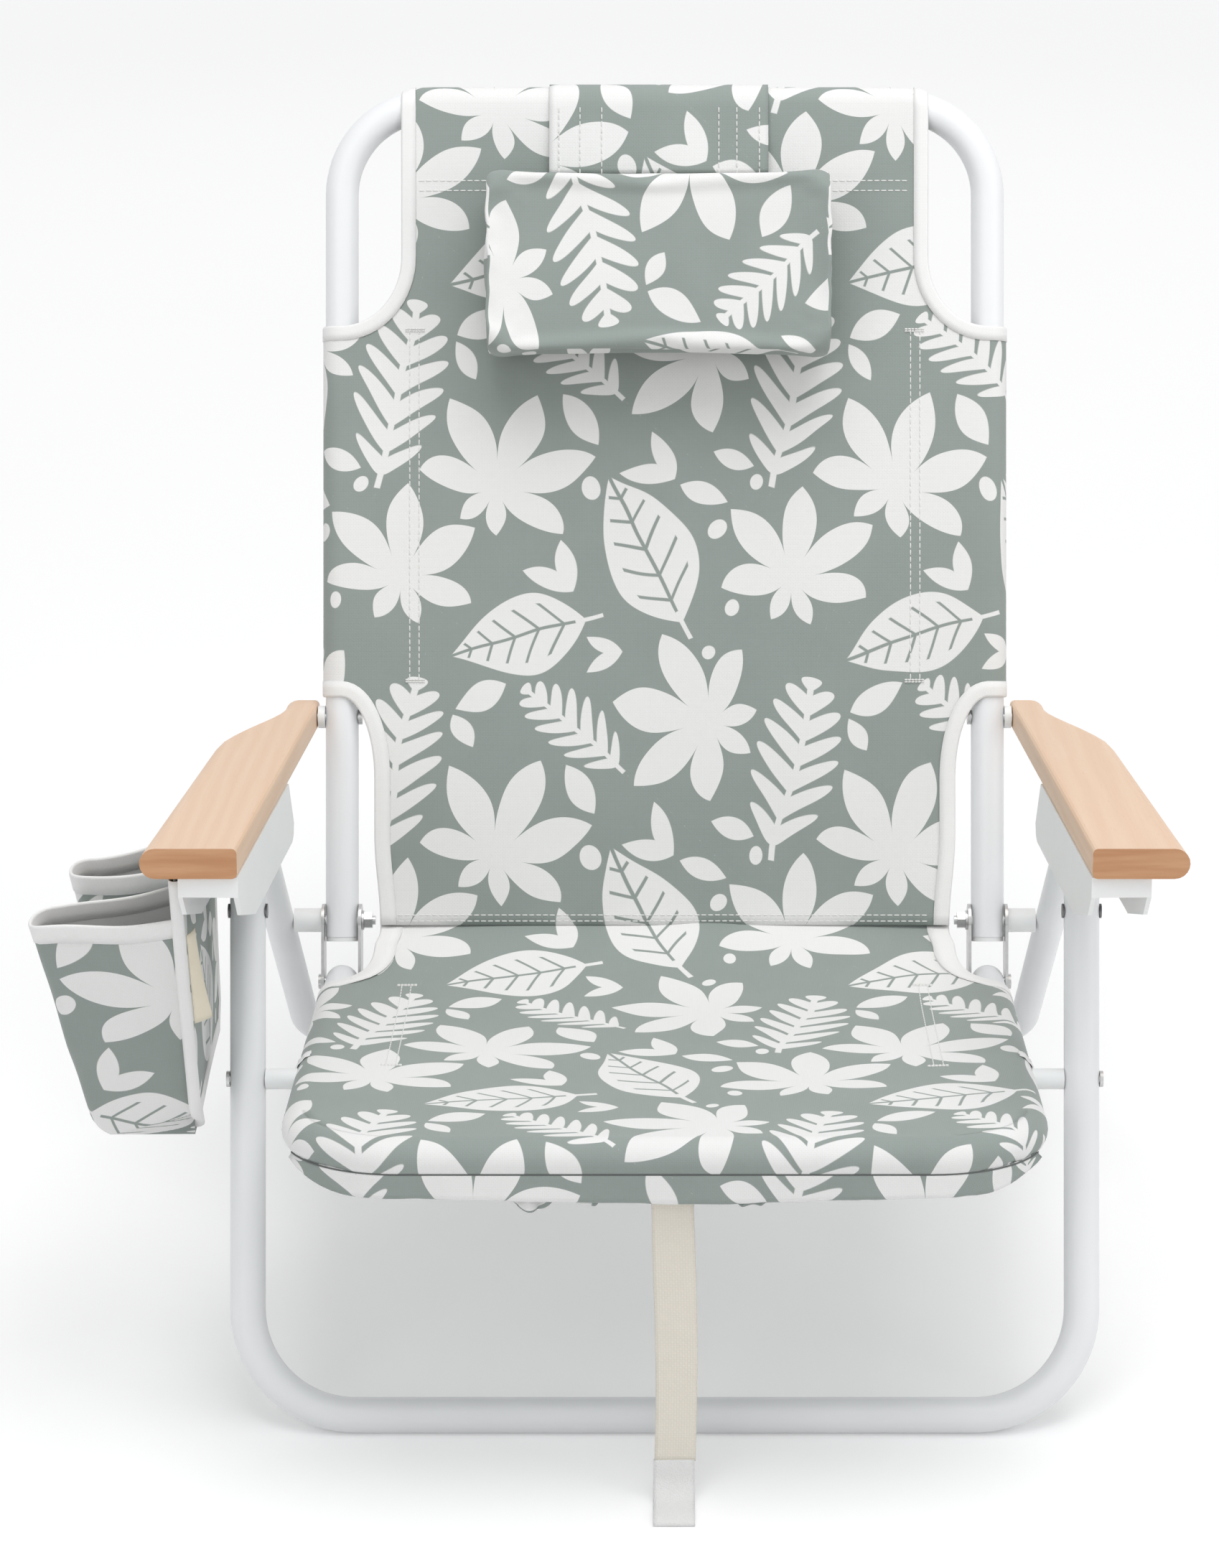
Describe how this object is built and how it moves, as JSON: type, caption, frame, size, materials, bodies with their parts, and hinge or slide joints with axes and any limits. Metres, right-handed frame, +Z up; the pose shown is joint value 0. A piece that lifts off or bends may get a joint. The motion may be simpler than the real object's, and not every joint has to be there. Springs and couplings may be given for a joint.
{
  "type": "folding beach chair",
  "caption": "Low folding beach chair: bent tube frame, printed cloth sling with a head pillow, wooden arms on reclining racks, an arm pouch and a closing strap.",
  "frame": {"origin": "middle of the front floor bar, on the floor", "axes": "+Z is up, +X is to the viewer's right in the picture, and the chair faces -Y"},
  "size_m": [0.6781, 0.6545, 0.7165],
  "materials": {
    "powder_coat": "satin",
    "white_plastic": "satin",
    "zinc": "satin",
    "dark_steel": "satin",
    "beech": "matte",
    "print_cloth": "matte",
    "webbing": "matte",
    "hook_tape": "matte",
    "cream_tape": "matte"
  },
  "bodies": {
    "seat": {"seat_frame": "powder_coat", "seat_fabric": "print_cloth", "seat_pivot_bolts": "zinc", "seat_pivot_spacers": "white_plastic", "closure_strap": "webbing", "strap_hook_end": "hook_tape"},
    "hinge_plates": {"hinge_plates_left": "zinc", "hinge_plates_right": "zinc", "lower_hinge_bolts": "zinc", "upper_hinge_bolts": "zinc", "hinge_nuts": "zinc", "hinge_spacers": "white_plastic"},
    "back": {"back_frame": "powder_coat", "back_plugs": "white_plastic", "back_bushes": "white_plastic", "back_fabric": "print_cloth", "pillow_flap": "print_cloth", "arm_bolts": "zinc", "arm_bushes": "white_plastic"},
    "pillow": {"pillow": "print_cloth"},
    "front_legs": {"front_leg_frame": "powder_coat", "front_leg_caps": "white_plastic", "rack_pins": "zinc", "leg_rivets": "dark_steel"},
    "rear_legs": {"rear_leg_frame": "powder_coat", "rear_leg_caps": "white_plastic"},
    "arms": {"arm_left": "beech", "arm_right": "beech", "arm_bracket_left": "white_plastic", "arm_bracket_right": "white_plastic", "bracket_screws": "zinc", "organiser_panel": "print_cloth", "front_pocket": "print_cloth", "rear_pocket": "print_cloth", "organiser_tab": "cream_tape"}
  },
  "joints": [
    {"name": "fold", "type": "hinge", "parent": "seat", "child": "hinge_plates", "pos_m": [0, 0.30187, 0.16317], "axis": [1, 0, 0], "range_deg": [0, 58]},
    {"name": "back_fold", "type": "hinge", "parent": "hinge_plates", "child": "back", "pos_m": [0, 0.31789, 0.20091], "axis": [1, 0, 0], "range_deg": [0, 33.1]},
    {"name": "front_leg_fold", "type": "hinge", "parent": "seat", "child": "front_legs", "pos_m": [0, 0.08127, 0.20206], "axis": [1, 0, 0], "range_deg": [0, 94]},
    {"name": "rear_leg_fold", "type": "hinge", "parent": "hinge_plates", "child": "rear_legs", "pos_m": [0, 0.31789, 0.20091], "axis": [1, 0, 0], "range_deg": [-25.6, 0]},
    {"name": "arm_fold", "type": "hinge", "parent": "back", "child": "arms", "pos_m": [0, 0.37103, 0.3261], "axis": [1, 0, 0], "range_deg": [-91.1, 0]},
    {"name": "pillow_flip", "type": "hinge", "parent": "back", "child": "pillow", "pos_m": [0, 0.50258, 0.67004], "axis": [-1, 0, 0], "range_deg": [0, 80]}
  ],
  "couplings": [
    {"joint": "back_fold", "follows": "fold", "ratio": 0.57},
    {"joint": "front_leg_fold", "follows": "fold", "ratio": 1.62},
    {"joint": "rear_leg_fold", "follows": "fold", "ratio": -0.44},
    {"joint": "arm_fold", "follows": "fold", "ratio": -1.57}
  ]
}
